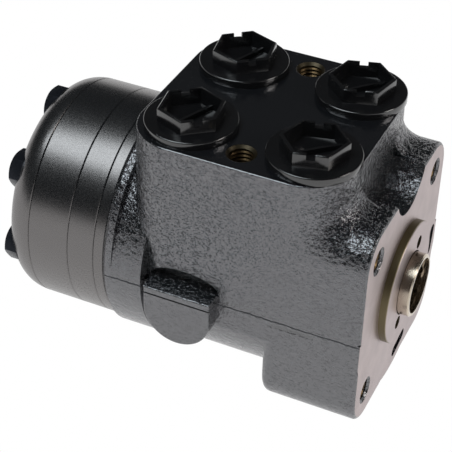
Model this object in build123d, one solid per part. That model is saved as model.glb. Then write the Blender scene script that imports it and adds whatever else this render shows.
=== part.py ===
from build123d import *
from math import cos, sin, pi, radians, degrees, asin, hypot, tan
import os

# Orbital steering unit.
# Frame: the origin is the centre of the mounting-flange face, on the shaft axis.
# +X points out of the flange along the shaft, +Z points out of the port face.
# Every length is in millimetres and every angle in degrees.

# Stack of the body, front to rear
housing_length = 97.8
spacer_plate_thickness = 4.3
distributor_thickness = 10.6
gear_ring_width = 16.2
cover_thickness = 10.8
stack_radius = 42.5
cover_crown_width = 8.0
cover_rim = 0.4
cover_seat_depth = 4.2
cover_seat_clearance = 0.5
plate_edge_chamfer = 0.35

# Mounting flange
flange_half_width = 40.4
flange_top = 41.0
flange_bottom = -41.6
flange_corner_radius = 13.5
flange_edge_radius = 1.5
flange_ear_depth = 13.0
flange_foot_depth = 36.2
foot_rear_radius = 3.0
flange_bolt_circle = 82.5
notch_radius = 15.0
notch_floor = 31.0
notch_offset = 1.0
pilot_radius = 22.85
pilot_height = 3.0
pilot_chamfer = 0.4
pilot_screw_circle_radius = 15.0
pilot_screw_angle = 58.0
pilot_screw_drill_radius = 2.5
pilot_screw_depth = 5.0
face_recess_circle_radius = 36.0
face_recess_length = 13.0
face_recess_width = 4.6
face_recess_depth = 4.0
face_recess_angles = [-10.0, -79.0]

# Tapped holes for M10 screws, in the flange and in the port face
m10_drill_radius = 4.25
m10_mouth_radius = 5.2
flange_hole_depth = 20.0
port_screw_depth = 17.0
port_screw_spacing = 60.0

# Casting
neck_radius = 44.0
neck_length = 15.8
neck_chamfer = 1.5
neck_lip = 4.0
neck_groove_floor = 39.6
neck_groove_start = 3.0
barrel_radius = 41.7
cast_draft = 1.2
port_face_height = 57.5
port_block_rear_inset = 5.8
port_block_front = -12.5
port_block_half_width = 39.4
port_block_corner_radius = 18.0
port_edge_radius = 0.6
lug_centre = -66.5
lug_radius = 12.8
lug_drop = 6.4
lug_rise = 2.7
lug_reach = 46.9
lug_edge_radius = 0.6
scoop_half_length = 15.0
scoop_height = 7.4
scoop_depth = 3.0
scoop_taper = 25.0
flash_height = 0.6
flash_depth = 0.5

# Ports and their plugs
port_pitch_x = 45.0
port_pitch_y = 43.4
port_row_offset = 1.65
port_bore_radius = 10.4
port_bore_depth = 15.0
plug_flange_radius = 16.3
plug_flange_thickness = 2.9
plug_flange_edge = 0.6
plug_shank_clearance = 0.15
plug_shank_length = 11.0
plug_shank_wall = 2.0
plug_hex_flats = 20.6
plug_hex_height = 5.1
plug_hex_chamfer = 0.35
plug_wall = 1.1
plug_pocket_depth = 5.9
plug_rib_width = 1.1
plug_rib_height = 1.8
plug_rib_turn = 30.0
plug_slot_width = 3.0
plug_slot_depth = 2.2
plug_turns = [38.5, 14.0, 40.0, 17.5]

# Bores of the housing, front to rear
spool_neck_radius = 11.7
neck_bore_clearance = 0.4
dust_seal_front = -3.5
dust_seal_width = 3.0
dust_seal_radius = 14.6
shaft_seal_front = -9.0
shaft_seal_width = 5.0
shaft_seal_radius = 16.2
energiser_width = 3.0
main_bore_front = -17.5
main_bore_radius = 19.0
running_clearance = 0.03
seal_lip_clearance = 0.04

# Thrust bearing between the housing and the sleeve
race_thickness = 2.0
bearing_play = 0.05
needle_radius = 1.2
needle_length = 4.4
needle_count = 16
cage_thickness = 1.5
cage_pocket_clearance = 0.06
race_bore_clearance = 0.5
race_rim_clearance = 0.2

# Spool and sleeve
shaft_end = 7.2
spool_radius = 14.5
spool_bore_radius = 10.6
spool_rear_gap = 3.0
sleeve_rear_gap = 1.0
spline_teeth = 12
input_spline_minor = 8.7
input_spline_major = 10.1
input_spline_half_width = 1.3
input_spline_length = 24.0
lead_in_radius = 10.35
lead_in_depth = 2.0
shaft_end_chamfer = 0.5
spool_groove_count = 6
spool_groove_width = 3.6
spool_groove_depth = 1.3
spool_groove_length = 22.0
spool_groove_centre = -70.0
sleeve_hole_radius = 1.5
sleeve_hole_count = 6
sleeve_hole_stations = [-58.0, -70.0, -84.0]
sleeve_groove_width = 3.0
sleeve_groove_depth = 0.7
sleeve_groove_stations = [-64.0, -90.0]
spring_station = -30.0
spring_leaf_width = 6.0
spring_leaf_thickness = 0.6
spring_leaf_bow = 1.1
spring_leaf_gap = 0.04
spring_slot_clearance = 0.1
spring_slot_end_gap = 0.4
spring_seat_radius = 17.3
spring_ring_length = 9.0
spring_ring_clearance = 0.05
pin_station = -46.0
pin_radius = 4.0
pin_end_gap = 0.5
pin_fit_clearance = 0.02
pin_chamfer = 0.6
centring_angle = 8.0
pin_slot_play = 0.3

# Gear set: a 7-lobe ring and a 6-lobe wheel
ring_lobes = 7
wheel_lobes = ring_lobes - 1
lobe_circle_radius = 29.25
lobe_radius = 6.75
eccentricity = 3.0
mesh_clearance = 0.06
wheel_side_clearance = 0.04
outline_points_per_lobe = 30
rest_orbit_angle = 180.0

# Cardan shaft and its spacer
cardan_fork_radius = 9.5
cardan_fork_front = 8.0
cardan_fork_rear = 9.0
cardan_shank_radius = 6.2
cardan_shank_taper = 4.0
cardan_root_radius = 6.9
cardan_tip_radius = 8.3
cardan_tooth_half_width = 1.15
cardan_head_length = 11.0
cardan_spline_clearance = 0.4
cardan_pin_clearance = 0.15
cardan_floor_play = 0.5
spacer_disc_radius = 6.9
spacer_disc_thickness = 1.8
spacer_disc_gap = 0.1

# Screws of the cover, on a circle through all plates
cover_bolt_circle_radius = 33.5
cover_bolt_radius = 4.0
cover_bolt_hole_radius = 4.3
cover_bolt_engagement = 15.0
cover_tapped_clearance = 0.05
cover_tapped_extra = 3.0
cover_head_flats = 13.0
cover_head_height = 5.3
cover_head_chamfer = 30.0
cover_head_top_radius = 6.2
washer_radius = 7.2
washer_thickness = 1.0
pin_screw_index = 3
pin_screw_tip_radius = 2.5

# Check valve, in the bore of the pin screw
check_bushing_radius = 6.0
check_bushing_length = 15.0
check_bushing_recess = 1.0
check_ball_radius = 4.25
check_bore_clearance = 0.35
check_lift = 2.0
check_seat_radius = 3.0
check_seat_depth = 4.0
check_chamber_length = 12.0
check_stop_gap = 0.1

# Face seals and oil ways between the plates
seal_circle_radius = 39.9
seal_ring_radius = 0.9
seal_groove_clearance = 0.08
oil_way_circle_radius = 26.0
oil_way_radius = 2.2
oil_way_depth = 12.0
spacer_plate_bore_radius = 15.0
distributor_bore_radius = 12.8

# Stations and radii that follow from the sizes above
housing_rear = -housing_length
spacer_rear = housing_rear - spacer_plate_thickness
distributor_rear = spacer_rear - distributor_thickness
gear_rear = distributor_rear - gear_ring_width
cover_rear = gear_rear - cover_thickness
cover_seat = cover_rear + cover_seat_depth
port_block_rear = housing_rear + port_block_rear_inset
port_row_centre = (port_block_front + port_block_rear) / 2 + port_row_offset
gear_middle = (distributor_rear + gear_rear) / 2
flange_bolt_offset = flange_bolt_circle / 2 * cos(radians(45))
neck_bore_radius = spool_neck_radius + neck_bore_clearance
sleeve_radius = main_bore_radius - running_clearance
sleeve_bore_radius = spool_radius + running_clearance
front_race_rear = main_bore_front - race_thickness
needle_middle = front_race_rear - bearing_play - needle_radius
rear_race_front = needle_middle - needle_radius - bearing_play
sleeve_front = rear_race_front - race_thickness - bearing_play
sleeve_rear = housing_rear + sleeve_rear_gap
spool_rear = housing_rear + spool_rear_gap
race_inner_radius = spool_neck_radius + race_bore_clearance
race_outer_radius = main_bore_radius - race_rim_clearance
needle_circle_radius = (race_inner_radius + race_outer_radius) / 2
cardan_reach = pin_station - gear_middle
cardan_tilt = degrees(asin(eccentricity / cardan_reach))
wheel_centre_angle = 90.0 + rest_orbit_angle
wheel_centre_y = eccentricity * cos(radians(wheel_centre_angle))
wheel_centre_z = eccentricity * sin(radians(wheel_centre_angle))
wheel_turn = 90.0 - rest_orbit_angle / wheel_lobes
ring_cavity_radius = lobe_circle_radius + 2 * eccentricity - lobe_radius + mesh_clearance
spring_slot_width = 2 * (spring_leaf_bow + 2 * spring_leaf_thickness + spring_slot_clearance)
spring_half_span = spring_seat_radius - spring_slot_end_gap
check_bore_radius = check_ball_radius + check_bore_clearance
check_seat_station = housing_rear + check_bushing_recess + check_bushing_length + check_chamber_length


def cylinder_x(radius, x_start, x_end, y=0.0, z=0.0):
    """Solid round bar along X between two stations."""
    return extrude(Plane.YZ.offset(x_start) * Pos(y, z) * Circle(radius), x_end - x_start)


def ring_x(outer_radius, inner_radius, x_start, x_end):
    """Round ring about the shaft axis between two stations."""
    return extrude(Plane.YZ.offset(x_start) * (Circle(outer_radius) - Circle(inner_radius)), x_end - x_start)


def box_between(x_range, y_range, z_range):
    """Box given by its limits along each axis."""
    sizes = [limits[1] - limits[0] for limits in (x_range, y_range, z_range)]
    middles = [(limits[1] + limits[0]) / 2 for limits in (x_range, y_range, z_range)]
    return Pos(*middles) * Box(*sizes)


def polar_point(radius, angle):
    """Point (y, z) at a radius and an angle from +Y towards +Z."""
    return (radius * cos(radians(angle)), radius * sin(radians(angle)))


def bolt_angle(index):
    """Angle of one cover screw; the first is at the top."""
    return 90.0 + index * 360.0 / ring_lobes


def bolt_points():
    return [polar_point(cover_bolt_circle_radius, bolt_angle(index)) for index in range(ring_lobes)]


def oil_points():
    half_pitch = 180.0 / ring_lobes
    angles = [bolt_angle(index) + half_pitch for index in range(ring_lobes)]
    return [polar_point(oil_way_circle_radius, angle) for angle in angles]


def port_points():
    """Plan positions of the four ports: near rear, near front, far rear, far front."""
    columns = (port_row_centre - port_pitch_x / 2, port_row_centre + port_pitch_x / 2)
    return [(x, y) for y in (-port_pitch_y / 2, port_pitch_y / 2) for x in columns]


# ---------------------------------------------------------------- housing

def flange_outline():
    height = flange_top - flange_bottom
    middle = (flange_top + flange_bottom) / 2
    return Pos(0, middle) * RectangleRounded(2 * flange_half_width, height, flange_corner_radius)


def flange_block():
    """Mounting flange: shallow ears above the shaft, a deep foot below it."""
    reach = 2 * stack_radius
    ears = extrude(Plane.YZ * flange_outline(), -flange_ear_depth)
    foot = extrude(Plane.YZ * flange_outline(), -flange_foot_depth)
    foot = fillet(foot.faces().sort_by(Axis.X)[0].outer_wire().edges(), foot_rear_radius)
    foot &= box_between((-reach, reach), (-reach, reach), (-reach, 0))
    block = ears + foot
    block = fillet(block.faces().sort_by(Axis.X)[-1].outer_wire().edges(), flange_edge_radius)
    return block - flange_notch()


def flange_notch():
    """Round-bottomed channel through the top edge, between the two ears."""
    centre = notch_floor + notch_radius
    return cylinder_x(notch_radius, -flange_ear_depth, 0, notch_offset, centre)


def face_recesses():
    """Cast pockets in the flange face, below the far and beside the bottom edge of the pilot."""
    slot = SlotOverall(face_recess_length, face_recess_width)
    pockets = []
    for angle in face_recess_angles:
        place = Pos(*polar_point(face_recess_circle_radius, angle)) * Rot(0, 0, angle + 90.0)
        pockets.append(extrude(Plane.YZ * place * slot, -face_recess_depth))
    return pockets


def neck_groove():
    """Groove over the neck, deepest at the top and running out just above the parting line."""
    front = housing_rear + neck_length
    lip_front = housing_rear + neck_lip
    centre = (neck_groove_floor ** 2 - neck_radius ** 2) / 2 / (neck_groove_floor - neck_groove_start)
    core = cylinder_x(neck_groove_floor - centre, lip_front, front, 0, centre)
    return cylinder_x(neck_radius + neck_chamfer, lip_front, front) - core


def barrel():
    """Lower half barrel, and the round neck that meets the plates."""
    reach = 2 * stack_radius
    side = flange_half_width
    half = cylinder_x(barrel_radius, housing_rear, 0)
    half &= box_between((-reach, reach), (-side, side), (-reach, 0))
    neck = cylinder_x(neck_radius, housing_rear, housing_rear + neck_length)
    neck = chamfer(neck.edges().group_by(Axis.X)[0], neck_chamfer)
    return half + (neck - neck_groove())


def port_block():
    """Upright block that carries the port face, drafted towards the top."""
    inset = port_face_height * tan(radians(cast_draft))
    length = port_block_front - port_block_rear + 2 * inset
    width = 2 * (port_block_half_width + inset)
    middle = (port_block_front + port_block_rear) / 2
    outline = Pos(middle, 0) * RectangleRounded(length, width, port_block_corner_radius + inset)
    block = extrude(outline, port_face_height, taper=cast_draft)
    return fillet(block.faces().sort_by(Axis.Z)[-1].edges(), port_edge_radius)


def side_lug():
    """Half-round lug on the near side, with a thin flash groove along the parting line."""
    height = lug_drop + lug_rise
    outline = Pos(lug_centre, lug_rise - height / 2) * Rectangle(2 * lug_radius, height)
    outline += Pos(lug_centre, -lug_drop) * Circle(lug_radius)
    lug = extrude(Plane.XZ.offset(lug_reach) * outline, pilot_radius - lug_reach)
    lug &= box_between((-housing_length, 0), (-lug_reach, 0), (-2 * lug_radius, lug_rise))
    lug = fillet(lug.faces().sort_by(Axis.Y)[0].edges(), lug_edge_radius)
    sides = (lug_centre - 2 * lug_radius, lug_centre + 2 * lug_radius)
    half_flash = flash_height / 2
    return lug - box_between(sides, (-lug_reach, flash_depth - lug_reach), (-half_flash, half_flash))


def lug_scoop():
    """Dished hollow in the near wall, above the lug."""
    outline = Plane.XZ.offset(port_block_half_width - scoop_depth) * Pos(lug_centre, lug_rise)
    outline = outline * Ellipse(scoop_half_length - scoop_depth, scoop_height - scoop_depth)
    hollow = extrude(outline, lug_reach - port_block_half_width + scoop_depth, taper=-scoop_taper)
    return hollow & box_between((-housing_length, 0), (-2 * lug_reach, 0), (lug_rise, port_face_height))


def tapped_hole(depth):
    """Tapped hole going down from the origin, with a countersunk mouth."""
    mouth = m10_mouth_radius - m10_drill_radius
    drill = Pos(0, 0, -depth / 2) * Cylinder(m10_drill_radius, depth)
    return drill + Pos(0, 0, -mouth / 2) * Cone(m10_drill_radius, m10_mouth_radius, mouth)


def flange_holes():
    """Tapped holes: through the ears above the shaft, blind in the foot below it."""
    offset = flange_bolt_offset
    holes = []
    for z, depth in ((offset, flange_ear_depth), (-offset, flange_hole_depth)):
        for y in (-offset, offset):
            holes.append(Pos(0, y, z) * Rot(0, 90, 0) * tapped_hole(depth))
    return holes


def pilot_holes():
    angles = (pilot_screw_angle, pilot_screw_angle + 180.0)
    points = [polar_point(pilot_screw_circle_radius, angle) for angle in angles]
    floor = pilot_height - pilot_screw_depth
    return [cylinder_x(pilot_screw_drill_radius, pilot_height, floor, *point) for point in points]


def port_screw_holes():
    places = [Pos(port_row_centre, side * port_screw_spacing / 2, port_face_height) for side in (-1, 1)]
    return [place * tapped_hole(port_screw_depth) for place in places]


def port_bores():
    floor = port_face_height - port_bore_depth / 2
    return [Pos(x, y, floor) * Cylinder(port_bore_radius, port_bore_depth) for x, y in port_points()]


def shaft_bores():
    """Stepped bore along the shaft axis, with the two seal grooves."""
    steps = cylinder_x(neck_bore_radius, pilot_height, main_bore_front)
    steps += cylinder_x(dust_seal_radius, dust_seal_front, dust_seal_front - dust_seal_width)
    steps += cylinder_x(shaft_seal_radius, shaft_seal_front, shaft_seal_front - shaft_seal_width)
    return steps + cylinder_x(main_bore_radius, main_bore_front, housing_rear)


def cover_screw_threads():
    """Tapped holes of the cover screws; the pin screw's hole holds the check valve."""
    radius = cover_bolt_radius + cover_tapped_clearance
    floor = housing_rear + cover_bolt_engagement + cover_tapped_extra
    holes = []
    for index, point in enumerate(bolt_points()):
        if index == pin_screw_index:
            shoulder = housing_rear + check_bushing_recess + check_bushing_length
            holes.append(cylinder_x(check_bushing_radius, housing_rear, shoulder, *point))
            holes.append(cylinder_x(check_bore_radius, shoulder, check_seat_station, *point))
            seat_floor = check_seat_station + check_seat_depth
            holes.append(cylinder_x(check_seat_radius, check_seat_station, seat_floor, *point))
        else:
            holes.append(cylinder_x(radius, housing_rear, floor, *point))
    return holes


def oil_ways(x_start, x_end):
    return [cylinder_x(oil_way_radius, x_start, x_end, *point) for point in oil_points()]


def housing():
    body = barrel() + flange_block() + port_block()
    body -= lug_scoop()
    body += side_lug()
    pilot = cylinder_x(pilot_radius, main_bore_front, pilot_height)
    body += chamfer(pilot.edges().group_by(Axis.X)[-1], pilot_chamfer)
    cuts = flange_holes() + face_recesses() + pilot_holes() + port_screw_holes() + port_bores()
    cuts += cover_screw_threads() + oil_ways(housing_rear, housing_rear + oil_way_depth)
    body -= cuts
    return body - shaft_bores()


# ---------------------------------------------------------------- plates and gear set

def seal_groove(x_face):
    """Groove of a face seal, cut forwards from a plate's rear face."""
    play = seal_groove_clearance
    outer = seal_circle_radius + seal_ring_radius + play
    inner = seal_circle_radius - seal_ring_radius - play
    return ring_x(outer, inner, x_face, x_face + 2 * seal_ring_radius + play)


def screw_holes(x_front, x_rear):
    return [cylinder_x(cover_bolt_hole_radius, x_front, x_rear, *point) for point in bolt_points()]


def plate(x_front, x_rear):
    """Round plate of the stack with its screw holes."""
    body = chamfer(cylinder_x(stack_radius, x_front, x_rear).edges(), plate_edge_chamfer)
    return body - screw_holes(x_front, x_rear)


def spacer_plate():
    body = plate(housing_rear, spacer_rear) - cylinder_x(spacer_plate_bore_radius, housing_rear, spacer_rear)
    body -= oil_ways(housing_rear, spacer_rear)
    return body - seal_groove(spacer_rear)


def distributor_plate():
    body = plate(spacer_rear, distributor_rear)
    body -= cylinder_x(distributor_bore_radius, spacer_rear, distributor_rear)
    body -= oil_ways(spacer_rear, distributor_rear)
    return body - seal_groove(distributor_rear)


def gear_ring():
    """Outer gear: seven round lobes that point inwards."""
    cavity = Circle(ring_cavity_radius)
    for index in range(ring_lobes):
        cavity -= Pos(*polar_point(lobe_circle_radius, bolt_angle(index))) * Circle(lobe_radius)
    body = plate(distributor_rear, gear_rear)
    body -= extrude(Plane.YZ.offset(distributor_rear) * cavity, -gear_ring_width)
    return body - seal_groove(gear_rear)


def wheel_point(angle):
    """Point and direction of the wheel's outline: the path of a ring lobe's centre, offset inwards."""
    offset = lobe_radius + mesh_clearance
    path_x = lobe_circle_radius * cos(angle) - eccentricity * cos(ring_lobes * angle)
    path_y = lobe_circle_radius * sin(angle) - eccentricity * sin(ring_lobes * angle)
    slope_x = -lobe_circle_radius * sin(angle) + ring_lobes * eccentricity * sin(ring_lobes * angle)
    slope_y = lobe_circle_radius * cos(angle) - ring_lobes * eccentricity * cos(ring_lobes * angle)
    speed = hypot(slope_x, slope_y)
    point = (path_x - offset * slope_y / speed, path_y + offset * slope_x / speed)
    return point, (slope_x, slope_y)


def wheel_outline():
    """Envelope of the ring's lobes, seen from the rolling wheel: one lobe, repeated round the centre."""
    pitch = 2 * pi / wheel_lobes
    angles = [pitch * step / outline_points_per_lobe for step in range(outline_points_per_lobe + 1)]
    points = [wheel_point(angle)[0] for angle in angles]
    ends = [wheel_point(angle)[1] for angle in (angles[0], angles[-1])]
    lobe = Spline(*points, tangents=ends)
    return make_face([Rot(0, 0, degrees(pitch) * index) * lobe for index in range(wheel_lobes)])


def spline_outline(root_radius, tip_radius, half_width, grow=0.0):
    """Round bar with spline_teeth straight-sided teeth, grown all round by a clearance."""
    height = tip_radius - root_radius / 2
    outline = Circle(root_radius + grow)
    for index in range(spline_teeth):
        middle = (root_radius + height + grow) / 2
        tooth = Pos(middle, 0) * Rectangle(height + grow, 2 * (half_width + grow))
        outline += Rot(0, 0, index * 360.0 / spline_teeth) * tooth
    return outline


def gear_wheel():
    """Six-lobe inner gear, in mesh, with the splined hole for the cardan shaft."""
    front = distributor_rear - wheel_side_clearance
    width = gear_ring_width - 2 * wheel_side_clearance
    half_width = cardan_tooth_half_width
    hole = spline_outline(cardan_root_radius, cardan_tip_radius, half_width, cardan_spline_clearance)
    place = Plane.YZ.offset(front) * Pos(wheel_centre_y, wheel_centre_z)
    body = extrude(place * Rot(0, 0, wheel_turn) * wheel_outline(), -width)
    return body - extrude(place * hole, -width)


def cover_profile():
    """Half section of the cover: its rim curves inwards over the whole thickness to a flat rear face."""
    crown_depth = cover_thickness - cover_rim
    flat_radius = stack_radius - cover_crown_width
    crown_start = gear_rear - cover_rim
    centre = (crown_start, flat_radius)
    crown = EllipticalCenterArc(centre, crown_depth, cover_crown_width, 90.0, arc_size=90.0)
    outline = [
        Line((gear_rear, 0), (gear_rear, stack_radius)),
        Line((gear_rear, stack_radius), (crown_start, stack_radius)),
        crown,
        Line((cover_rear, flat_radius), (cover_rear, 0)),
        Line((cover_rear, 0), (gear_rear, 0)),
    ]
    return make_face(outline)


def cover_seats():
    """Spot-faced seats that sink the screw heads into the curved rim."""
    radius = washer_radius + cover_seat_clearance
    return [cylinder_x(radius, cover_rear, cover_seat, *point) for point in bolt_points()]


def end_cover():
    body = revolve(cover_profile(), Axis.X)
    body = chamfer(body.edges().filter_by(GeomType.CIRCLE).group_by(Axis.X)[-1], plate_edge_chamfer)
    return body - screw_holes(gear_rear, cover_rear) - cover_seats()


def face_seal(x_face):
    """Rubber ring of square section lying in a seal groove."""
    outer = seal_circle_radius + seal_ring_radius
    inner = seal_circle_radius - seal_ring_radius
    return ring_x(outer, inner, x_face, x_face + 2 * seal_ring_radius)


# ---------------------------------------------------------------- cover screws

def cover_screw(point, tip=None):
    """Hex screw with its head behind the cover."""
    seat = cover_seat - washer_thickness
    tip_station = housing_rear + cover_bolt_engagement
    shank = cylinder_x(cover_bolt_radius, seat, tip_station, *point)
    head_outline = RegularPolygon(cover_head_flats / 2, 6, major_radius=False)
    head = extrude(Plane.YZ.offset(seat) * Pos(*point) * head_outline, -cover_head_height)
    base_radius = cover_head_top_radius + cover_head_height / tan(radians(cover_head_chamfer))
    crown = Cone(base_radius, cover_head_top_radius, cover_head_height)
    crown = Pos(seat - cover_head_height / 2, *point) * Rot(0, -90, 0) * crown
    screw = shank + (head & crown)
    if tip is not None:
        screw += cylinder_x(pin_screw_tip_radius, tip_station, tip, *point)
    return screw


def cover_screws():
    points = bolt_points()
    plain = [point for index, point in enumerate(points) if index != pin_screw_index]
    return Compound(children=[cover_screw(point) for point in plain])


def pin_screw():
    ball_front = check_seat_station - check_stop_gap
    tip = ball_front - 2 * check_ball_radius - check_lift - check_stop_gap
    return cover_screw(bolt_points()[pin_screw_index], tip)


def cover_washers():
    washers = []
    for point in bolt_points():
        outline = Circle(washer_radius) - Circle(cover_bolt_hole_radius)
        washers.append(extrude(Plane.YZ.offset(cover_seat) * Pos(*point) * outline, -washer_thickness))
    return Compound(children=washers)


def check_bushing():
    """Threaded bush that carries the pin screw's thread behind the check ball."""
    point = bolt_points()[pin_screw_index]
    front = housing_rear + check_bushing_recess
    outline = Circle(check_bushing_radius) - Circle(cover_bolt_radius + cover_tapped_clearance)
    return extrude(Plane.YZ.offset(front) * Pos(*point) * outline, check_bushing_length)


def check_ball():
    y, z = bolt_points()[pin_screw_index]
    return Pos(check_seat_station - check_stop_gap - check_ball_radius, y, z) * Sphere(check_ball_radius)


# ---------------------------------------------------------------- seals and thrust bearing

def dust_seal():
    inner = spool_neck_radius + seal_lip_clearance
    lip = (dust_seal_radius - inner) / 2
    front = dust_seal_front
    rear = dust_seal_front - dust_seal_width
    body = ring_x(dust_seal_radius, inner + lip, front, rear)
    return body + ring_x(inner + lip, inner, front, (front + rear) / 2)


def shaft_seal():
    inner = spool_neck_radius + seal_lip_clearance
    outer = (inner + shaft_seal_radius) / 2
    return ring_x(outer, inner, shaft_seal_front, shaft_seal_front - shaft_seal_width)


def seal_energiser():
    """Rubber ring that presses the shaft seal onto the spool's neck."""
    inner = (spool_neck_radius + seal_lip_clearance + shaft_seal_radius) / 2
    margin = (shaft_seal_width - energiser_width) / 2
    front = shaft_seal_front - margin
    return ring_x(shaft_seal_radius, inner, front, front - energiser_width)


def thrust_race(x_front):
    return ring_x(race_outer_radius, race_inner_radius, x_front, x_front - race_thickness)


def needle_places(radius):
    turns = [index * 360.0 / needle_count for index in range(needle_count)]
    return [Pos(needle_middle, 0, 0) * Rot(turn, 0, 0) * Pos(0, 0, radius) for turn in turns]


def bearing_needles():
    return Compound(children=[
        place * Cylinder(needle_radius, needle_length) for place in needle_places(needle_circle_radius)
    ])


def bearing_cage():
    play = cage_pocket_clearance
    outer = race_outer_radius - race_rim_clearance
    inner = race_inner_radius + race_rim_clearance
    front = needle_middle + cage_thickness / 2
    cage = ring_x(outer, inner, front, front - cage_thickness)
    pocket = Box(2 * cage_thickness, 2 * (needle_radius + play), needle_length + 2 * play)
    return cage - [place * pocket for place in needle_places(needle_circle_radius)]


# ---------------------------------------------------------------- spool and sleeve set

def spring_slot():
    """Slot for the leaf springs, along Z through spool and sleeve."""
    length = spring_leaf_width + 2 * spring_slot_end_gap
    return Pos(spring_station, 0, 0) * Box(length, spring_slot_width, 2 * stack_radius)


def sleeve():
    """Rotary sleeve with its spring seat, pin hole, rows of oil holes and oil grooves."""
    seat_rear = spring_station - spring_ring_length / 2 - spring_slot_end_gap
    body = ring_x(sleeve_radius, sleeve_bore_radius, seat_rear, sleeve_rear)
    body += ring_x(spring_seat_radius, sleeve_bore_radius, sleeve_front, seat_rear)
    body -= spring_slot()
    pin_hole = Cylinder(pin_radius + pin_fit_clearance, 2 * stack_radius)
    body -= Pos(pin_station, 0, 0) * Rot(90, 0, 0) * pin_hole
    for station in sleeve_groove_stations:
        front = station + sleeve_groove_width / 2
        floor = sleeve_radius - sleeve_groove_depth
        body -= ring_x(sleeve_radius + sleeve_groove_depth, floor, front, front - sleeve_groove_width)
    drill = Cylinder(sleeve_hole_radius, 2 * stack_radius)
    half_turns = sleeve_hole_count // 2
    for row, station in enumerate(sleeve_hole_stations):
        for index in range(half_turns):
            turn = (index + row / 2) * 180.0 / half_turns
            body -= Pos(station, 0, 0) * Rot(turn, 0, 0) * drill
    return body


def spool():
    """Rotary spool: splined input end, spring slot, wide pin slots and oil grooves."""
    body = cylinder_x(spool_neck_radius, shaft_end, sleeve_front)
    body = chamfer(body.edges().group_by(Axis.X)[-1], shaft_end_chamfer)
    body += cylinder_x(spool_radius, sleeve_front, spool_rear)
    spline_rear = shaft_end - input_spline_length
    body -= extrude(Plane.YZ.offset(shaft_end) * spline_outline(
        input_spline_minor, input_spline_major, input_spline_half_width), -input_spline_length)
    body -= cylinder_x(lead_in_radius, shaft_end, shaft_end - lead_in_depth)
    body -= cylinder_x(spool_bore_radius, spline_rear, spool_rear)
    body -= spring_slot()
    swing = spool_radius * sin(radians(centring_angle)) + pin_slot_play
    slot = SlotOverall(2 * (pin_radius + swing), 2 * (pin_radius + pin_slot_play))
    slot = Plane.XZ.offset(-stack_radius) * Pos(pin_station, 0) * Rot(0, 0, 90) * slot
    body -= extrude(slot, 2 * stack_radius)
    cutter = Box(spool_groove_length, spool_groove_width, 2 * spool_groove_depth)
    for index in range(spool_groove_count):
        turn = (index + 1 / 2) * 360.0 / spool_groove_count
        body -= Rot(turn, 0, 0) * Pos(spool_groove_centre, 0, spool_radius) * cutter
    return body


def spring_ring():
    front = spring_station + spring_ring_length / 2
    inner = spring_seat_radius + spring_ring_clearance
    return ring_x(sleeve_radius - running_clearance, inner, front, front - spring_ring_length)


def centring_springs():
    """Two flat leaves between two pairs of bowed ones."""
    pitch = spring_leaf_thickness + spring_leaf_gap
    flat = pitch / 2
    leaves = []
    for side in (-1, 1):
        leaves.append(flat_leaf(side * flat))
        leaves.append(bowed_leaf(side))
    return Compound(children=leaves)


def flat_leaf(offset_y):
    leaf = Box(spring_leaf_width, spring_leaf_thickness, 2 * spring_half_span)
    return Pos(spring_station, offset_y, 0) * leaf


def bowed_leaf(side):
    """Bowed leaf: its middle lies on the flat leaves and its ends press on the slot."""
    inner = spring_leaf_thickness + 2 * spring_leaf_gap
    bow = spring_leaf_bow
    span = spring_half_span
    thickness = spring_leaf_thickness
    inner_arc = ThreePointArc(
        (side * (inner + bow), -span),
        (side * inner, 0),
        (side * (inner + bow), span),
    )
    outer_arc = ThreePointArc(
        (side * (inner + bow + thickness), -span),
        (side * (inner + thickness), 0),
        (side * (inner + bow + thickness), span),
    )
    ends = [Line(inner_arc @ 0, outer_arc @ 0), Line(inner_arc @ 1, outer_arc @ 1)]
    face = make_face([inner_arc, outer_arc] + ends)
    start = spring_station - spring_leaf_width / 2
    return extrude(Plane.YZ.offset(start) * face, spring_leaf_width)


def cross_pin():
    length = 2 * (sleeve_radius - pin_end_gap)
    pin = chamfer(Cylinder(pin_radius, length).edges(), pin_chamfer)
    return Pos(pin_station, 0, 0) * Rot(90, 0, 0) * pin


# ---------------------------------------------------------------- cardan shaft

def cardan_shaft():
    """Forked and splined shaft, tilted from the cross pin to the wheel's centre."""
    head_half = cardan_head_length / 2
    fork_front = cardan_fork_front
    fork_rear = -cardan_fork_rear
    shank_front = fork_rear - cardan_shank_taper
    head_front = head_half - cardan_reach
    body = cylinder_x(cardan_fork_radius, fork_front, fork_rear)
    body = chamfer(body.edges().group_by(Axis.X)[-1], pin_chamfer)
    taper = loft([
        Plane.YZ.offset(fork_rear) * Circle(cardan_fork_radius),
        Plane.YZ.offset(shank_front) * Circle(cardan_shank_radius),
    ])
    body += taper
    body += cylinder_x(cardan_shank_radius, shank_front, head_front)
    head = spline_outline(cardan_root_radius, cardan_tip_radius, cardan_tooth_half_width)
    body += extrude(Plane.YZ.offset(head_front) * head, -cardan_head_length)
    slot_half = pin_radius + cardan_pin_clearance
    reach = 2 * stack_radius
    slot_floor = -cardan_floor_play
    body -= box_between((slot_floor, fork_front), (-reach, reach), (-slot_half, slot_half))
    body -= Pos(slot_floor, 0, 0) * Rot(90, 0, 0) * Cylinder(slot_half, reach)
    direction = Rot(wheel_centre_angle, 0, 0) * Rot(0, 0, -cardan_tilt) * Rot(-wheel_centre_angle, 0, 0)
    return Pos(pin_station, 0, 0) * direction * body


def cardan_spacer():
    rear = gear_rear + spacer_disc_gap
    return cylinder_x(spacer_disc_radius, rear, rear + spacer_disc_thickness, wheel_centre_y, wheel_centre_z)


# ---------------------------------------------------------------- port plugs

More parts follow.
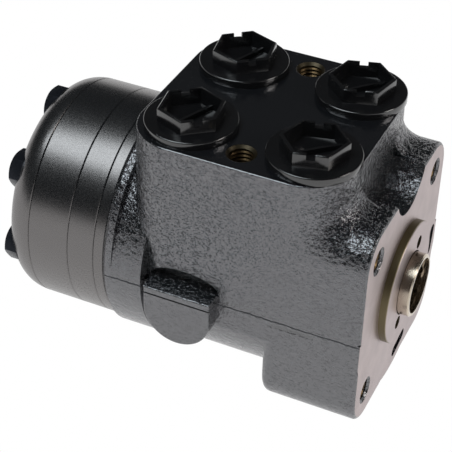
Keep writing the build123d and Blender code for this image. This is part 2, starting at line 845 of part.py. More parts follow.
def plug_head():
    """Hollow hex head with a rib across its floor and a slot through two sides."""
    top = plug_flange_thickness + plug_hex_height
    floor = top - plug_pocket_depth
    inside_flats = plug_hex_flats - 2 * plug_wall
    hexagon = RegularPolygon(plug_hex_flats / 2, 6, major_radius=False)
    head = extrude(Plane.XY.offset(plug_flange_thickness) * hexagon, plug_hex_height)
    head = chamfer(head.edges().group_by(Axis.Z)[-1], plug_hex_chamfer)
    pocket_outline = RegularPolygon(inside_flats / 2, 6, major_radius=False)
    pocket = extrude(Plane.XY.offset(floor) * pocket_outline, plug_pocket_depth)
    rib = Pos(0, 0, floor + plug_rib_height / 2) * Box(inside_flats, plug_rib_width, plug_rib_height)
    slot = Box(plug_slot_width, 2 * plug_flange_radius, plug_slot_depth)
    slot = Pos(0, 0, top - plug_slot_depth / 2) * slot
    return head, pocket, Rot(0, 0, plug_rib_turn) * rib, slot


def port_plug(index):
    """Moulded plug: hollow threaded shank, wide flange and hex head."""
    shank_radius = port_bore_radius - plug_shank_clearance
    hollow_depth = plug_shank_length - plug_wall
    flange = Pos(0, 0, plug_flange_thickness / 2) * Cylinder(plug_flange_radius, plug_flange_thickness)
    flange = fillet(flange.edges().group_by(Axis.Z)[-1], plug_flange_edge)
    shank = Pos(0, 0, -plug_shank_length / 2) * Cylinder(shank_radius, plug_shank_length)
    hollow_middle = hollow_depth / 2 - plug_shank_length
    hollow = Pos(0, 0, hollow_middle) * Cylinder(shank_radius - plug_shank_wall, hollow_depth)
    head, pocket, rib, slot = plug_head()
    body = flange + shank + head - pocket + rib - slot - hollow
    x, y = port_points()[index]
    return Pos(x, y, port_face_height) * Rot(0, 0, plug_turns[index]) * body


# ---------------------------------------------------------------- output

def nodes():
    """Every sub-part by its node name."""
    parts = {
        "housing": housing(),
        "spacer_plate": spacer_plate(),
        "distributor_plate": distributor_plate(),
        "gear_ring": gear_ring(),
        "gear_wheel": gear_wheel(),
        "end_cover": end_cover(),
        "cover_screws": cover_screws(),
        "pin_screw": pin_screw(),
        "cover_washers": cover_washers(),
        "check_bushing": check_bushing(),
        "check_ball": check_ball(),
        "dust_seal": dust_seal(),
        "shaft_seal": shaft_seal(),
        "seal_energiser": seal_energiser(),
        "front_thrust_race": thrust_race(main_bore_front),
        "rear_thrust_race": thrust_race(rear_race_front),
        "bearing_needles": bearing_needles(),
        "bearing_cage": bearing_cage(),
        "sleeve": sleeve(),
        "spool": spool(),
        "spring_ring": spring_ring(),
        "centring_springs": centring_springs(),
        "cross_pin": cross_pin(),
        "cardan_shaft": cardan_shaft(),
        "cardan_spacer": cardan_spacer(),
    }
    for name, station in (("spacer", spacer_rear), ("distributor", distributor_rear), ("cover", gear_rear)):
        parts[name + "_seal"] = face_seal(station)
    for index, name in enumerate(("near_rear", "near_front", "far_rear", "far_front")):
        parts["port_plug_" + name] = port_plug(index)
    return parts


if __name__ == "__main__":
    os.makedirs("parts", exist_ok=True)
    for node, shape in nodes().items():
        export_step(shape, "parts/" + node + ".step")
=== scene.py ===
import logging
import math
from dataclasses import dataclass, field
from enum import Enum
from typing import Iterable

import bmesh
import bpy
from mathutils import Matrix, Vector


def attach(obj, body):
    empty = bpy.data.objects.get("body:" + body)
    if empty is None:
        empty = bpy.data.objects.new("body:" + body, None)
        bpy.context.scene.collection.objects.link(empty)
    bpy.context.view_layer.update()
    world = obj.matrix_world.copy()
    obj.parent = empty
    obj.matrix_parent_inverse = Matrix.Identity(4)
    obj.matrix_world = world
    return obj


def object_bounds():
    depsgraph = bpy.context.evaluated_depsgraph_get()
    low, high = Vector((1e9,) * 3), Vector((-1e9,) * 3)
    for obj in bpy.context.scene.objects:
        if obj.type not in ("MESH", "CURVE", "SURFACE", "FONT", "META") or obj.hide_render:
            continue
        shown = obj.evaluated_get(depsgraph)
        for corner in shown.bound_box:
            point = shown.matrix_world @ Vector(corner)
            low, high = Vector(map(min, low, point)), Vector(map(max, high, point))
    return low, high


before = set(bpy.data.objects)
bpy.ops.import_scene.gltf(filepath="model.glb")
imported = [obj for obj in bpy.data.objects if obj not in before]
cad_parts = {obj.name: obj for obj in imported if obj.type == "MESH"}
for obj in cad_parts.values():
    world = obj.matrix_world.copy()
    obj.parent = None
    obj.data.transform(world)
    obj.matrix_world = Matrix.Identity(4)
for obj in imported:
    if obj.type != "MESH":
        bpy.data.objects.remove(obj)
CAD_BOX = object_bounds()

log = logging.getLogger("steering_unit")

MM = 0.001

# The port face and its two tapped holes.
PORT_FACE_MM = 57.5
PORT_ROW_MM = -50.6
PORT_SCREW_MM = 30.0

# How the CAD nodes' meshes are cleaned, rounded and split.
WELD_MM = 0.001
ROUNDING_STEPS = 2
ROUNDED_ANGLE = math.radians(35)
SHARP_ANGLE = math.radians(28)

# The span that a noise mostly keeps to.
NOISE_LOW = 0.3
NOISE_HIGH = 0.7

# The inputs of a Map Range node, in the order in which the script gives their values.
RANGE_INPUTS = ("From Min", "From Max", "To Min", "To Max")

Colour = tuple[float, float, float]
Socket = bpy.types.NodeSocket


class Axis(Enum):
    """A coordinate of the part's own frame."""

    ALONG_SHAFT = "X"
    ACROSS = "Y"
    UP = "Z"


class Side(Enum):
    """Which half of a coordinate a mask keeps."""

    ABOVE = "GREATER_THAN"
    BELOW = "LESS_THAN"


class Flank(Enum):
    """A side of the part, with its sign across the shaft."""

    NEAR = -1
    FAR = 1


@dataclass
class Board:
    """A material's node tree, with short calls for the nodes that the finishes share."""

    material: bpy.types.Material
    place: Socket | None = None
    shader: bpy.types.Node | None = None

    @classmethod
    def named(cls, name: str) -> "Board":
        """Makes a material with an empty tree, an output and a Principled shader.

        Args:
            name: The material's name.

        Returns:
            The board, ready for a finish to wire.
        """
        material = bpy.data.materials.new(name)
        material.use_nodes = True
        tree = material.node_tree
        tree.nodes.clear()
        board = cls(material)
        board.place = tree.nodes.new("ShaderNodeTexCoord").outputs["Object"]
        board.shader = tree.nodes.new("ShaderNodeBsdfPrincipled")
        output = tree.nodes.new("ShaderNodeOutputMaterial")
        tree.links.new(board.shader.outputs["BSDF"], output.inputs["Surface"])
        return board

    def add(self, kind: str) -> bpy.types.Node:
        """Adds a node of that kind and returns it."""
        return self.material.node_tree.nodes.new(kind)

    def wire(self, source: Socket, target: Socket) -> None:
        """Links one socket to another."""
        self.material.node_tree.links.new(source, target)

    def feed(self, target: Socket, value: Socket | float) -> None:
        """Links a socket, or sets a number.

        Args:
            target: The input that takes the value.
            value: A socket to link, or a number to set.
        """
        if isinstance(value, bpy.types.NodeSocket):
            self.wire(value, target)
        else:
            target.default_value = value

    def maths(self, operation: str, first: Socket | float, second: Socket | float = 0.0) -> Socket:
        """Adds a Math node.

        Args:
            operation: Blender's name for the operation.
            first: The first value.
            second: The second value.

        Returns:
            The node's result.
        """
        node = self.add("ShaderNodeMath")
        node.operation = operation
        self.feed(node.inputs[0], first)
        self.feed(node.inputs[1], second)
        return node.outputs[0]

    def coordinate(self, axis: Axis) -> Socket:
        """Returns one coordinate of the point, in metres."""
        node = self.add("ShaderNodeSeparateXYZ")
        self.wire(self.place, node.inputs[0])
        return node.outputs[axis.value]

    def beyond(self, axis: Axis, limit_mm: float, side: Side = Side.ABOVE) -> Socket:
        """Makes a mask of 1 past a limit and 0 before it.

        Args:
            axis: The coordinate that is compared.
            limit_mm: The limit, in millimetres.
            side: Which side of the limit is 1.

        Returns:
            The mask.
        """
        return self.maths(side.value, self.coordinate(axis), limit_mm * MM)

    def round_area(
        self, first: Axis, second: Axis, centre_mm: tuple[float, float], radius_mm: float
    ) -> Socket:
        """Makes a mask of 1 within a radius of a centre and of its mirror image.

        Args:
            first: The first coordinate of the circle's plane.
            second: The second coordinate of the circle's plane.
            centre_mm: The centre, where the second coordinate is also mirrored.
            radius_mm: The radius, in millimetres.

        Returns:
            The mask.
        """
        across = self.maths("SUBTRACT", self.coordinate(first), centre_mm[0] * MM)
        folded = self.maths("ABSOLUTE", self.coordinate(second))
        along = self.maths("SUBTRACT", folded, centre_mm[1] * MM)
        squares = self.maths(
            "ADD", self.maths("MULTIPLY", across, across), self.maths("MULTIPLY", along, along))
        return self.maths("LESS_THAN", self.maths("SQRT", squares), radius_mm * MM)

    def noise(
        self, grain_mm: float, detail: float = 4.0, rough: float = 0.55, flatten: float = 1.0
    ) -> Socket:
        """Adds a noise texture.

        Args:
            grain_mm: The size of one grain, in millimetres.
            detail: How many finer layers it has.
            rough: How strong the finer layers are.
            flatten: How many times lower than wide a grain is.

        Returns:
            The noise, from 0 to 1.
        """
        stretch = self.add("ShaderNodeMapping")
        stretch.inputs["Scale"].default_value = (1.0, 1.0, flatten)
        self.wire(self.place, stretch.inputs["Vector"])
        node = self.add("ShaderNodeTexNoise")
        self.wire(stretch.outputs["Vector"], node.inputs["Vector"])
        node.inputs["Scale"].default_value = 1 / (grain_mm * MM)
        node.inputs["Detail"].default_value = detail
        node.inputs["Roughness"].default_value = rough
        return node.outputs["Fac"]

    def between(self, value: Socket, low: float, high: float, out_low: float, out_high: float) -> Socket:
        """Maps a range of a value onto another range, with its ends held.

        Args:
            value: The value to map.
            low: The input's low end.
            high: The input's high end.
            out_low: What the low end gives.
            out_high: What the high end gives.

        Returns:
            The mapped value.
        """
        node = self.add("ShaderNodeMapRange")
        self.wire(value, node.inputs["Value"])
        for name, number in zip(RANGE_INPUTS, (low, high, out_low, out_high)):
            node.inputs[name].default_value = number
        return node.outputs["Result"]

    def spread(self, noise: Socket, out_low: float, out_high: float) -> Socket:
        """Maps a noise onto a range, with its rare peaks held at the range's ends.

        Args:
            noise: The noise to map.
            out_low: What its low end gives.
            out_high: What its high end gives.

        Returns:
            The mapped value.
        """
        return self.between(noise, NOISE_LOW, NOISE_HIGH, out_low, out_high)

    def blend_values(self, mask: Socket, off: Socket | float, on: Socket | float) -> Socket:
        """Mixes two numbers by a mask.

        Args:
            mask: The mask, from 0 to 1.
            off: The number where the mask is 0.
            on: The number where the mask is 1.

        Returns:
            The mixed number.
        """
        node = self.add("ShaderNodeMix")
        node.data_type = "FLOAT"
        self.wire(mask, node.inputs[0])
        self.feed(node.inputs[2], off)
        self.feed(node.inputs[3], on)
        return node.outputs[0]

    def blend_colours(self, mask: Socket, off: Socket | Colour, on: Socket | Colour) -> Socket:
        """Mixes two colours by a mask.

        Args:
            mask: The mask, from 0 to 1.
            off: The colour where the mask is 0.
            on: The colour where the mask is 1.

        Returns:
            The mixed colour.
        """
        node = self.add("ShaderNodeMix")
        node.data_type = "RGBA"
        self.wire(mask, node.inputs[0])
        for socket, colour in ((node.inputs[6], off), (node.inputs[7], on)):
            if isinstance(colour, bpy.types.NodeSocket):
                self.wire(colour, socket)
            else:
                socket.default_value = (*colour, 1.0)
        return node.outputs[2]

    def raise_surface(self, height: Socket, depth_mm: float) -> None:
        """Bumps the surface.

        Args:
            height: The height, as a share of the depth.
            depth_mm: What a height of 1 stands for, in millimetres.
        """
        node = self.add("ShaderNodeBump")
        node.inputs["Strength"].default_value = 1.0
        node.inputs["Distance"].default_value = depth_mm * MM
        self.wire(height, node.inputs["Height"])
        self.wire(node.outputs["Normal"], self.shader.inputs["Normal"])


@dataclass(frozen=True)
class CastEnamel:
    """Gloss black enamel over rough casting, bare where the casting is machined.

    The machined face, the wall of the boss, the mouths of the port screws' holes and the smoother
    port face are told apart by their places, so that one mesh wears them all. The mouths of the
    port screws' holes are painted near black, as painted shade of the holes.
    """

    enamel: Colour = (0.009, 0.010, 0.012)
    sheen: Colour = (0.96, 0.96, 1.0)
    machined: Colour = (0.50, 0.42, 0.40)
    boss_wall: Colour = (0.20, 0.17, 0.09)
    # Near black at the mouths of the port screws' holes: painted shade of the holes, laid on their bare
    # metal.
    mouth_painted_shade: Colour = (0.06, 0.045, 0.02)
    enamel_ior: float = 2.35
    gloss_grain_mm: float = 0.5
    gloss_low: float = 0.10
    gloss_high: float = 0.17
    bare_metallic: float = 0.85
    bare_roughness: float = 0.42
    worn_patch_mm: float = 9.0
    worn_tone: float = 0.84
    ripple_grain_mm: float = 2.2
    ripple_height: float = 0.5
    pit_grain_mm: float = 1.05
    pit_flatten: float = 1.6
    pit_floor: float = 0.34
    pit_rim: float = 0.46
    pit_height: float = 0.6
    texture_depth_mm: float = 0.62
    low_texture: float = 0.5
    smooth_below_mm: float = 2.0
    rough_above_mm: float = 42.0
    seam_height_mm: float = -1.0
    seam_half_width_mm: float = 0.32
    seam_wave_mm: float = 3.0
    seam_wander_mm: float = 0.5
    seam_inner_mm: float = 37.0
    seam_outer_mm: float = 45.5
    seam_roughness: float = 0.9
    smooth_top_mm: float = 57.3
    smooth_top: float = 0.93
    flange_face_mm: float = -0.05
    boss_face_mm: float = 2.8
    mouth_radius_mm: float = 5.3
    mouth_above_mm: float = 30.0

    def bare_metal(self, board: Board) -> tuple[Socket, Socket]:
        """Finds where the casting has no enamel, and what colour its metal has there.

        Args:
            board: The material that is being made.

        Returns:
            The mask of bare metal, and the metal's colour.
        """
        face = board.beyond(Axis.ALONG_SHAFT, self.flange_face_mm)
        boss = board.maths(
            "MULTIPLY", face, board.beyond(Axis.ALONG_SHAFT, self.boss_face_mm, Side.BELOW))
        boss = board.maths("MULTIPLY", boss, board.beyond(Axis.ALONG_SHAFT, -self.flange_face_mm))
        mouth = board.round_area(
            Axis.ALONG_SHAFT, Axis.ACROSS, (PORT_ROW_MM, PORT_SCREW_MM), self.mouth_radius_mm)
        mouth = board.maths("MULTIPLY", mouth, board.beyond(Axis.UP, self.mouth_above_mm))
        tone = board.spread(board.noise(self.worn_patch_mm), 0.0, 1.0)
        worn = tuple(self.worn_tone * channel for channel in self.machined)
        metal = board.blend_colours(tone, self.machined, worn)
        metal = board.blend_colours(boss, metal, self.boss_wall)
        # Painted shade: the mouths of the port screws' holes are darkened to near black.
        metal = board.blend_colours(mouth, metal, self.mouth_painted_shade)
        return board.maths("MAXIMUM", face, mouth), metal

    def seam(self, board: Board) -> Socket:
        """Finds the thin line that the two halves of the mould left along both sides.

        Args:
            board: The material that is being made.

        Returns:
            The mask of the line.
        """
        wave = board.noise(self.seam_wave_mm, detail=2.0)
        wander = board.spread(wave, 0.0, self.seam_wander_mm * MM)
        height = board.maths("SUBTRACT", board.coordinate(Axis.UP), self.seam_height_mm * MM)
        height = board.maths("ABSOLUTE", board.maths("SUBTRACT", height, wander))
        line = board.maths("LESS_THAN", height, self.seam_half_width_mm * MM)
        across = board.maths("ABSOLUTE", board.coordinate(Axis.ACROSS))
        outside = board.maths("GREATER_THAN", across, self.seam_inner_mm * MM)
        inside = board.maths("LESS_THAN", across, self.seam_outer_mm * MM)
        return board.maths("MULTIPLY", line, board.maths("MULTIPLY", outside, inside))

    def cast_texture(self, board: Board, bare: Socket) -> Socket:
        """Makes the pits and ripples of the casting, which fade downwards and on machined faces.

        Args:
            board: The material that is being made.
            bare: The mask of bare metal.

        Returns:
            The height of the texture, as a share of its depth.
        """
        pits = board.noise(self.pit_grain_mm, detail=2.0, rough=0.5, flatten=self.pit_flatten)
        pits = board.between(pits, self.pit_floor, self.pit_rim, 0.0, self.pit_height)
        ripple = board.noise(self.ripple_grain_mm, detail=3.0, rough=0.6)
        ripple = board.spread(ripple, 0.0, self.ripple_height)
        rough = board.between(
            board.coordinate(Axis.UP), self.smooth_below_mm * MM, self.rough_above_mm * MM,
            self.low_texture, 1.0)
        top = board.beyond(Axis.UP, self.smooth_top_mm)
        smooth_top = board.maths("MULTIPLY", top, self.smooth_top)
        cast = board.maths("SUBTRACT", 1.0, board.maths("MAXIMUM", bare, smooth_top))
        texture = board.maths("ADD", pits, ripple)
        return board.maths("MULTIPLY", texture, board.maths("MULTIPLY", cast, rough))

    def build(self) -> bpy.types.Material:
        """Builds the enamel's material.

        Returns:
            The material, for the casting and its shoulders.
        """
        board = Board.named("cast_enamel")
        shader = board.shader
        bare, metal = self.bare_metal(board)
        board.wire(board.blend_colours(bare, self.enamel, metal), shader.inputs["Base Color"])
        board.wire(board.blend_values(bare, 0.0, self.bare_metallic), shader.inputs["Metallic"])
        gloss = board.spread(board.noise(self.gloss_grain_mm, detail=2.0), self.gloss_low, self.gloss_high)
        seam = self.seam(board)
        dull = board.blend_values(seam, gloss, self.seam_roughness)
        board.wire(board.blend_values(bare, dull, self.bare_roughness), shader.inputs["Roughness"])
        shader.inputs["IOR"].default_value = self.enamel_ior
        shader.inputs["Specular Tint"].default_value = (*self.sheen, 1.0)
        height = board.maths("SUBTRACT", self.cast_texture(board, bare), seam)
        board.raise_surface(height, self.texture_depth_mm)
        return board.material


@dataclass(frozen=True)
class PlainFinish:
    """A finish that is the same all over, apart from a fine grain and a slow change of tone."""

    name: str
    colour: Colour
    roughness: float
    metallic: float = 0.0
    ior: float = 1.5
    grain_mm: float = 0.4
    grain_depth_mm: float = 0.01
    tone_mm: float = 11.0
    tone_change: float = 0.25
    roughness_change: float = 0.2
    sheen: Colour = (1.0, 1.0, 1.0)

    def build(self) -> bpy.types.Material:
        """Builds the finish's material.

        Returns:
            The material, under the finish's own name.
        """
        board = Board.named(self.name)
        shader = board.shader
        tone = board.spread(board.noise(self.tone_mm, detail=3.0), 0.0, 1.0)
        darker = tuple(channel * (1 - self.tone_change) for channel in self.colour)
        board.wire(board.blend_colours(tone, self.colour, darker), shader.inputs["Base Color"])
        grain = board.noise(self.grain_mm, detail=2.0)
        change = self.roughness_change * self.roughness
        rough = board.spread(grain, self.roughness - change, self.roughness + change)
        board.wire(rough, shader.inputs["Roughness"])
        shader.inputs["Metallic"].default_value = self.metallic
        shader.inputs["IOR"].default_value = self.ior
        shader.inputs["Specular Tint"].default_value = (*self.sheen, 1.0)
        board.raise_surface(grain, self.grain_depth_mm)
        return board.material


class Surface(Enum):
    """The finishes that the part wears."""

    STACK = PlainFinish(
        "stack_enamel", (0.009, 0.011, 0.013), 0.27, ior=2.35, grain_mm=0.5, grain_depth_mm=0.012,
        sheen=(1.0, 0.95, 0.94))
    SCREW = PlainFinish("blacked_screw", (0.030, 0.034, 0.045), 0.34, metallic=0.55, grain_mm=0.6)
    WASHER = PlainFinish("blacked_washer", (0.07, 0.07, 0.075), 0.45, metallic=1.0)
    PLUG = PlainFinish(
        "moulded_plug", (0.010, 0.010, 0.011), 0.16, ior=1.8, grain_mm=0.8, grain_depth_mm=0.008)
    SHAFT = PlainFinish("bright_shaft", (0.62, 0.54, 0.44), 0.24, metallic=1.0, grain_mm=0.3)
    GEAR = PlainFinish("ground_steel", (0.46, 0.45, 0.43), 0.3, metallic=1.0)
    BALL = PlainFinish("polished_steel", (0.66, 0.66, 0.66), 0.12, metallic=1.0, grain_depth_mm=0.001)
    SPRING = PlainFinish("blued_spring", (0.20, 0.23, 0.30), 0.3, metallic=1.0)
    RUBBER = PlainFinish("seal_rubber", (0.016, 0.016, 0.016), 0.62, grain_mm=0.3)
    THREAD = PlainFinish("cut_thread", (0.13, 0.088, 0.045), 0.34, metallic=1.0)


def dress(names: Iterable[str], material: bpy.types.Material, edge_mm: float = 0.0) -> None:
    """Puts a material on CAD nodes and shades their curved faces smoothly.

    Args:
        names: The nodes' names.
        material: The material that they wear.
        edge_mm: How far the sharp edges are rounded, in millimetres.
    """
    for name in names:
        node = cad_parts[name]
        node.data.materials.clear()
        node.data.materials.append(material)
        node.data.polygons.foreach_set("use_smooth", [True] * len(node.data.polygons))
        weld = node.modifiers.new("weld", "WELD")
        weld.merge_threshold = WELD_MM * MM
        if edge_mm:
            rounding = node.modifiers.new("rounded_edges", "BEVEL")
            rounding.width = edge_mm * MM
            rounding.segments = ROUNDING_STEPS
            rounding.limit_method = "ANGLE"
            rounding.angle_limit = ROUNDED_ANGLE
        split = node.modifiers.new("sharp_edges", "EDGE_SPLIT")
        split.split_angle = SHARP_ANGLE
        log.info("dressed %s in %s", name, material.name)


def make_piece(name: str, mesh: bmesh.types.BMesh, material: bpy.types.Material) -> bpy.types.Object:
    """Turns a finished bmesh into an object of the scene, and frees the bmesh.

    Args:
        name: The piece's name.
        mesh: The shape, in metres and in its place.
        material: The material that the piece wears.

    Returns:
        The object, at the origin.
    """
    data = bpy.data.meshes.new(name)
    mesh.to_mesh(data)
    mesh.free()
    data.materials.append(material)
    piece = bpy.data.objects.new(name, data)
    bpy.context.scene.collection.objects.link(piece)
    log.info("built %s with %d faces", name, len(data.polygons))
    return piece


@dataclass
class Housing:
    """The casting."""

    nodes: tuple[str, ...] = ("housing",)
    finish: CastEnamel = field(default_factory=CastEnamel)

    def build(self) -> None:
        """Dresses the casting and adds its shoulders."""
        material = self.finish.build()
        dress(self.nodes, material)
        for flank in Flank:
            Shoulder(flank).build(material)


@dataclass
class Shoulder:
    """The cast shoulder that fills the corner between one ear of the flange and the port block.

    It carries the ear's outline back to the block and rises to the block's wall in a fillet.
    """

    flank: Flank
    half_width_mm: float = 40.4
    top_mm: float = 41.0
    ear_corner_mm: float = 13.5
    ear_rear_mm: float = -13.0
    block_front_mm: float = -12.5
    block_half_width_mm: float = 39.4
    block_corner_mm: float = 18.0
    block_top_mm: float = PORT_FACE_MM
    block_draft: float = 0.0209
    fillet_mm: float = 9.0
    front_mm: float = -1.7
    rear_mm: float = -33.0
    foot_mm: float = -0.5
    inner_mm: float = 16.0
    sunk_mm: float = 0.05
    wall_mm: float = 3.0
    steps: int = 56

    def outline(self, way: float) -> tuple[float, float, float]:
        """Follows the ear's outline from its foot, up the side and over the corner to its top.

        Args:
            way: How far along the outline, in millimetres.

        Returns:
            The distance from the middle, the height, and how far the surface there faces up.
        """
        radius = self.ear_corner_mm - self.sunk_mm
        middle = self.half_width_mm - self.ear_corner_mm
        straight = self.top_mm - self.ear_corner_mm - self.foot_mm
        angle = (way - straight) / radius
        if angle < 0:
            return middle + radius, self.foot_mm + way, 0.0
        if angle < math.pi / 2:
            across = middle + radius * math.cos(angle)
            return across, self.top_mm - self.ear_corner_mm + radius * math.sin(angle), math.sin(angle)
        return middle - (way - straight - radius * math.pi / 2), self.top_mm - self.sunk_mm, 1.0

    def length(self) -> float:
        """Adds up the outline's straight side, corner and flat top.

        Returns:
            The length of the outline, in millimetres.
        """
        arc = (self.ear_corner_mm - self.sunk_mm) * math.pi / 2
        flat = self.half_width_mm - self.ear_corner_mm - self.inner_mm
        return self.top_mm - self.ear_corner_mm - self.foot_mm + arc + flat

    def rise(self, along: float, across: float) -> float:
        """Works out how far the fillet lifts the surface near the block's wall.

        Args:
            along: The place along the shaft, in millimetres.
            across: The distance from the middle, in millimetres.

        Returns:
            The lift, in millimetres.
        """
        corner = self.block_corner_mm
        out = along - (self.block_front_mm - corner)
        over = across - (self.block_half_width_mm - corner)
        gap = (math.hypot(out, over) if min(out, over) > 0 else max(out, over)) - corner
        left = self.fillet_mm - min(max(gap, 0.0), self.fillet_mm)
        return self.fillet_mm - math.sqrt(self.fillet_mm ** 2 - left ** 2)

    def place(self, along_share: float, outline_share: float) -> Vector:
        """Turns a point of the flat grid into a point of the shoulder.

        Args:
            along_share: How far it is from the rear end to the front end, from 0 to 1.
            outline_share: How far it is along the ear's outline, from 0 to 1.

        Returns:
            The point, in metres.
        """
        along = self.rear_mm + (self.front_mm - self.rear_mm) * along_share
        across, height, upward = self.outline(self.length() * outline_share)
        wall = self.block_half_width_mm + (self.block_top_mm - height) * self.block_draft - self.sunk_mm
        back = (self.ear_rear_mm - along) / (self.ear_rear_mm - self.block_front_mm + self.block_corner_mm)
        back = min(max(back, 0.0), 1.0)
        across += (wall - self.half_width_mm + self.sunk_mm) * back * (1 - upward)
        height += upward * self.rise(along, across)
        return Vector((along, self.flank.value * across, height)) * MM

    def build(self, material: bpy.types.Material) -> None:
        """Builds the shoulder in the housing's enamel and sets it on the housing.

        Args:
            material: The housing's enamel.
        """
        half_grid = 0.5
        mesh = bmesh.new()
        bmesh.ops.create_grid(mesh, x_segments=self.steps, y_segments=self.steps, size=half_grid)
        for vertex in mesh.verts:
            vertex.co = self.place(vertex.co.x + half_grid, vertex.co.y + half_grid)
        if self.flank is Flank.FAR:
            bmesh.ops.reverse_faces(mesh, faces=mesh.faces)
        bmesh.ops.solidify(mesh, geom=mesh.faces[:], thickness=self.wall_mm * MM)
        for face in mesh.faces:
            face.smooth = True
        piece = make_piece(f"{self.flank.name.lower()}_shoulder", mesh, material)
        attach(piece, "housing_body")


@dataclass
class Group:
    """Nodes that share one finish."""

    nodes: tuple[str, ...]
    surface: Surface
    edge_mm: float = 0.0

    def build(self) -> None:
        """Dresses the nodes."""
        dress(self.nodes, self.surface.value.build(), self.edge_mm)


@dataclass
class Thread:
    """The thread of one tapped hole, as a ridge that winds down its wall."""

    mouth_mm: Vector
    inward: Vector
    radius_mm: float
    depth_mm: float
    pitch_mm: float
    ridge_mm: float = 0.45
    foot_share: float = 0.64
    steps_a_turn: int = 28

    def add_to(self, mesh: bmesh.types.BMesh) -> None:
        """Winds the ridge into a mesh.

        Args:
            mesh: The mesh that the ridge joins.
        """
        turn = Vector((0, 0, -1)).rotation_difference(self.inward).to_matrix().to_4x4()
        place = Matrix.Translation(self.mouth_mm * MM) @ turn
        outer = self.radius_mm * MM
        inner = (self.radius_mm - self.ridge_mm) * MM
        half = self.foot_share / 2 * self.pitch_mm * MM
        corners = ((outer, 0, half), (inner, 0, 0), (outer, 0, -half))
        profile = mesh.faces.new([mesh.verts.new(place @ Vector(corner)) for corner in corners])
        turns = self.depth_mm / self.pitch_mm
        bmesh.ops.spin(
            mesh, geom=[profile], cent=place.translation, axis=place.to_3x3() @ Vector((0, 0, 1)),
            dvec=self.inward * (self.pitch_mm * MM / self.steps_a_turn),
            angle=2 * math.pi * turns, steps=int(turns * self.steps_a_turn))


@dataclass
class TappedHoles:
    """The threads of the flange's holes and of the port face's holes."""

    radius_mm: float = 4.25
    pitch_mm: float = 1.5
    offset_mm: float = 29.17
    start_mm: float = 1.8
    ear_thread_mm: float = 10.0
    foot_thread_mm: float = 15.0
    port_thread_mm: float = 12.0

    def build(self) -> None:
        """Builds one piece that holds every thread, and sets it in the housing."""
        mesh = bmesh.new()
        for z, depth in ((self.offset_mm, self.ear_thread_mm), (-self.offset_mm, self.foot_thread_mm)):
            for y in (-self.offset_mm, self.offset_mm):
                mouth = Vector((-self.start_mm, y, z))
                Thread(mouth, Vector((-1, 0, 0)), self.radius_mm, depth, self.pitch_mm).add_to(mesh)
        for y in (-PORT_SCREW_MM, PORT_SCREW_MM):
            mouth = Vector((PORT_ROW_MM, y, PORT_FACE_MM - self.start_mm))
            Thread(mouth, Vector((0, 0, -1)), self.radius_mm, self.port_thread_mm, self.pitch_mm).add_to(mesh)
        bmesh.ops.recalc_face_normals(mesh, faces=mesh.faces)
        piece = make_piece("hole_threads", mesh, Surface.THREAD.value.build())
        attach(piece, "housing_body")


@dataclass
class Lamp:
    """A soft area light, in metres and watts."""

    name: str
    place: Vector
    size: float
    power: float
    colour: Colour
    aim: Vector = field(default_factory=lambda: Vector((-0.06, 0, 0)))

    def build(self) -> None:
        """Hangs the light and aims it at the part."""
        data = bpy.data.lights.new(self.name, "AREA")
        data.shape = "SQUARE"
        data.size = self.size
        data.energy = self.power
        data.color = self.colour
        lamp = bpy.data.objects.new(self.name, data)
        lamp.location = self.place
        lamp.rotation_euler = (self.aim - self.place).to_track_quat("-Z", "Y").to_euler()
        bpy.context.scene.collection.objects.link(lamp)


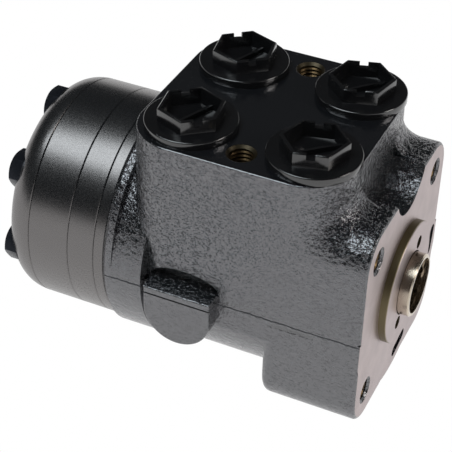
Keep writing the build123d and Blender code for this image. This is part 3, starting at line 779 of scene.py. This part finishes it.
@dataclass
class Studio:
    """The floor, the surroundings, the lights and the camera."""

    floor_gap: float = 0.0002
    floor_size: float = 16.0
    floor_grey: Colour = (0.8, 0.8, 0.8)
    floor_roughness: float = 0.9
    camera_place: Vector = field(default_factory=lambda: Vector((0.10649, -0.39110, 0.32658)))
    camera_right: Vector = field(default_factory=lambda: Vector((0.9055, 0.4238, 0.0212)))
    camera_up: Vector = field(default_factory=lambda: Vector((-0.2719, 0.5411, 0.7958)))
    camera_back: Vector = field(default_factory=lambda: Vector((0.3258, -0.7263, 0.6052)))
    lens_mm: float = 114.89
    sensor_mm: float = 36.0
    world_strength: float = 0.03
    horizon_top: float = 0.02
    dark_from: float = 0.16

    def pale_surface(self) -> bpy.types.Material:
        """Makes the floor's material: white when it is seen or mirrored, and plain grey to light.

        Returns:
            The material.
        """
        board = Board.named("pale_floor")
        tree = board.material.node_tree
        board.shader.inputs["Base Color"].default_value = (*self.floor_grey, 1.0)
        board.shader.inputs["Roughness"].default_value = self.floor_roughness
        glow = board.add("ShaderNodeEmission")
        rays = board.add("ShaderNodeLightPath")
        seen = board.maths("MAXIMUM", rays.outputs["Is Camera Ray"], rays.outputs["Is Glossy Ray"])
        seen = board.maths("MAXIMUM", seen, rays.outputs["Is Transmission Ray"])
        mix = board.add("ShaderNodeMixShader")
        board.wire(seen, mix.inputs[0])
        board.wire(board.shader.outputs[0], mix.inputs[1])
        board.wire(glow.outputs[0], mix.inputs[2])
        output = next(node for node in tree.nodes if node.type == "OUTPUT_MATERIAL")
        board.wire(mix.outputs[0], output.inputs["Surface"])
        return board.material

    def floor(self) -> None:
        """Lays the floor under the part."""
        mesh = bmesh.new()
        bmesh.ops.create_grid(mesh, x_segments=1, y_segments=1, size=self.floor_size / 2)
        bmesh.ops.translate(mesh, verts=mesh.verts, vec=(0, 0, CAD_BOX[0][2] - self.floor_gap))
        piece = make_piece("floor", mesh, self.pale_surface())

    def camera(self) -> None:
        """Sets up the camera."""
        data = bpy.data.cameras.new("camera")
        data.lens = self.lens_mm
        data.sensor_width = self.sensor_mm
        camera = bpy.data.objects.new("camera", data)
        turn = Matrix((self.camera_right, self.camera_up, self.camera_back)).transposed().to_4x4()
        camera.matrix_world = Matrix.Translation(self.camera_place) @ turn
        bpy.context.scene.collection.objects.link(camera)
        bpy.context.scene.camera = camera

    def sky(self) -> None:
        """Makes the surroundings: white at the horizon, where they meet the floor, and dark above."""
        world = bpy.data.worlds.new("studio")
        world.use_nodes = True
        tree = world.node_tree
        direction = tree.nodes.new("ShaderNodeTexCoord").outputs["Generated"]
        parts = tree.nodes.new("ShaderNodeSeparateXYZ")
        tree.links.new(direction, parts.inputs[0])
        fade = tree.nodes.new("ShaderNodeMapRange")
        tree.links.new(parts.outputs[Axis.UP.value], fade.inputs["Value"])
        limits = (self.horizon_top, self.dark_from, 1.0, self.world_strength)
        for name, number in zip(RANGE_INPUTS, limits):
            fade.inputs[name].default_value = number
        background = tree.nodes["Background"]
        background.inputs["Color"].default_value = (1, 1, 1, 1)
        tree.links.new(fade.outputs["Result"], background.inputs["Strength"])
        bpy.context.scene.world = world

    def build(self) -> None:
        """Builds the whole studio."""
        self.sky()
        bpy.context.scene.view_settings.view_transform = "Standard"
        Lamp(
            "overhead_softbox", place=Vector((-0.31, -0.24, 0.80)), size=0.52, power=3.6,
            colour=(0.88, 0.96, 1.0)).build()
        Lamp(
            "front_softbox", place=Vector((0.75, 0.10, 0.45)), size=0.30, power=2.0,
            colour=(1.0, 0.96, 0.92)).build()
        self.floor()
        self.camera()


def main() -> None:
    """Builds the part and the studio."""
    logging.basicConfig(level=logging.INFO)
    Housing().build()
    Group(("spacer_plate", "distributor_plate", "gear_ring", "end_cover"), Surface.STACK).build()
    Group(("cover_screws", "pin_screw"), Surface.SCREW, edge_mm=0.25).build()
    Group(("cover_washers",), Surface.WASHER).build()
    plugs = ("port_plug_near_rear", "port_plug_near_front", "port_plug_far_rear", "port_plug_far_front")
    Group(plugs, Surface.PLUG, edge_mm=0.3).build()
    Group(("spool",), Surface.SHAFT).build()
    gears = (
        "gear_wheel", "sleeve", "spring_ring", "cardan_shaft", "cardan_spacer", "check_bushing",
        "bearing_cage")
    Group(gears, Surface.GEAR).build()
    balls = ("check_ball", "front_thrust_race", "rear_thrust_race", "bearing_needles", "cross_pin")
    Group(balls, Surface.BALL).build()
    Group(("centring_springs",), Surface.SPRING).build()
    seals = ("dust_seal", "shaft_seal", "seal_energiser", "spacer_seal", "distributor_seal", "cover_seal")
    Group(seals, Surface.RUBBER).build()
    TappedHoles().build()
    Studio().build()


if __name__ == "__main__":
    main()
